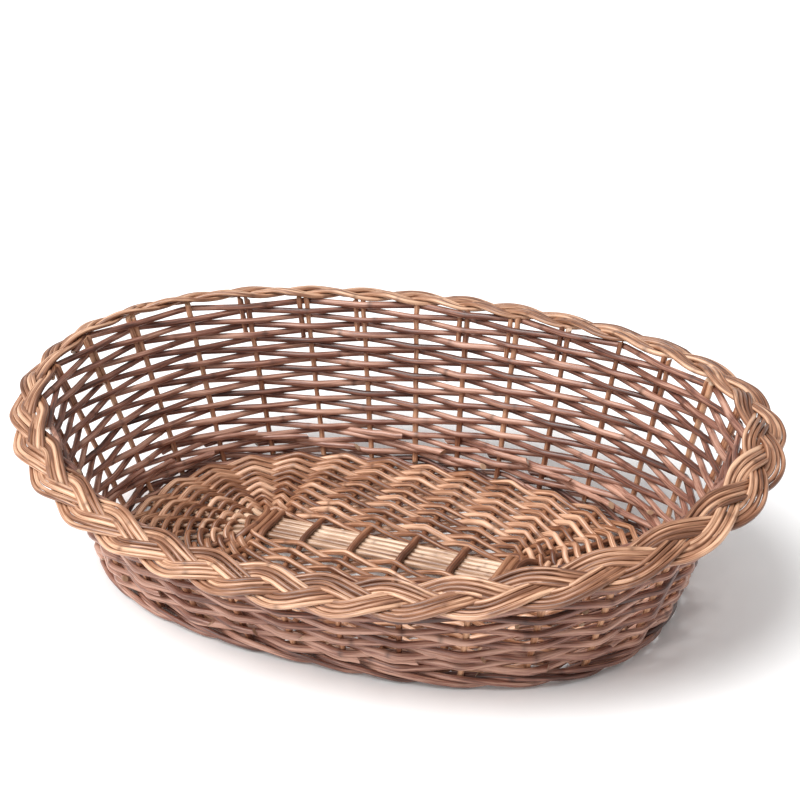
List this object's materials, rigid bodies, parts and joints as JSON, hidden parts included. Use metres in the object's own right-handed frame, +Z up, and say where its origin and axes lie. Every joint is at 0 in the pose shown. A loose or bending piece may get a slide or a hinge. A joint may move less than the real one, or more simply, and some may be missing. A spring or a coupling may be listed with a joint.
{
  "type": "wicker pet bed basket",
  "caption": "Oval woven willow pet bed with an open base weave, flared walls, a lowered entrance side and a broad plaited border.",
  "frame": {"origin": "middle of the footprint, on the plane that the basket stands on", "axes": "+X along the basket's length, -Y towards the lowered entrance side, +Z up"},
  "size_m": [0.8058, 0.5541, 0.204],
  "materials": {
    "peeled_stick": "peeled willow, satin",
    "base_stick": "boiled brown willow, satin",
    "base_weave": "steamed tan willow, light varnish",
    "wall_weave": "boiled plum-brown willow, light varnish",
    "stake": "boiled brown willow, satin",
    "border_plait": "steamed light tan willow, light varnish"
  },
  "bodies": {
    "root": {"long_stick_01": "peeled_stick", "long_stick_02": "peeled_stick", "long_stick_03": "peeled_stick", "long_stick_04": "peeled_stick", "long_stick_05": "peeled_stick", "cross_stick_01": "base_stick", "cross_stick_02": "base_stick", "cross_stick_03": "base_stick", "cross_stick_04": "base_stick", "cross_sticks_left": "base_stick", "cross_sticks_right": "base_stick", "base_row_01": "base_weave", "base_row_02": "base_weave", "base_row_03": "base_weave", "base_row_04": "base_weave", "base_row_05": "base_weave", "base_row_06": "base_weave", "base_row_07": "base_weave", "base_row_08": "base_weave", "base_row_09": "base_weave", "base_row_10": "base_weave", "upsett_rod_01": "wall_weave", "upsett_rod_02": "wall_weave", "upsett_rod_03": "wall_weave", "stakes_front": "stake", "stakes_right": "stake", "stakes_back": "stake", "stakes_left": "stake", "bye_stakes_front": "stake", "bye_stakes_back": "stake", "side_row_01": "wall_weave", "side_row_02": "wall_weave", "side_row_03": "wall_weave", "side_row_04": "wall_weave", "side_row_05": "wall_weave", "side_row_06": "wall_weave", "side_row_07": "wall_weave", "side_row_08": "wall_weave", "side_row_09": "wall_weave", "side_row_10": "wall_weave", "side_row_11": "wall_weave", "side_row_12": "wall_weave", "side_row_13": "wall_weave", "side_row_14": "wall_weave", "side_row_15": "wall_weave", "side_row_16": "wall_weave", "side_row_17": "wall_weave", "side_row_18": "wall_weave", "side_row_19": "wall_weave", "side_row_20": "wall_weave", "side_row_21": "wall_weave", "border_strand_01": "border_plait", "border_strand_02": "border_plait", "border_strand_03": "border_plait"}
  },
  "joints": []
}
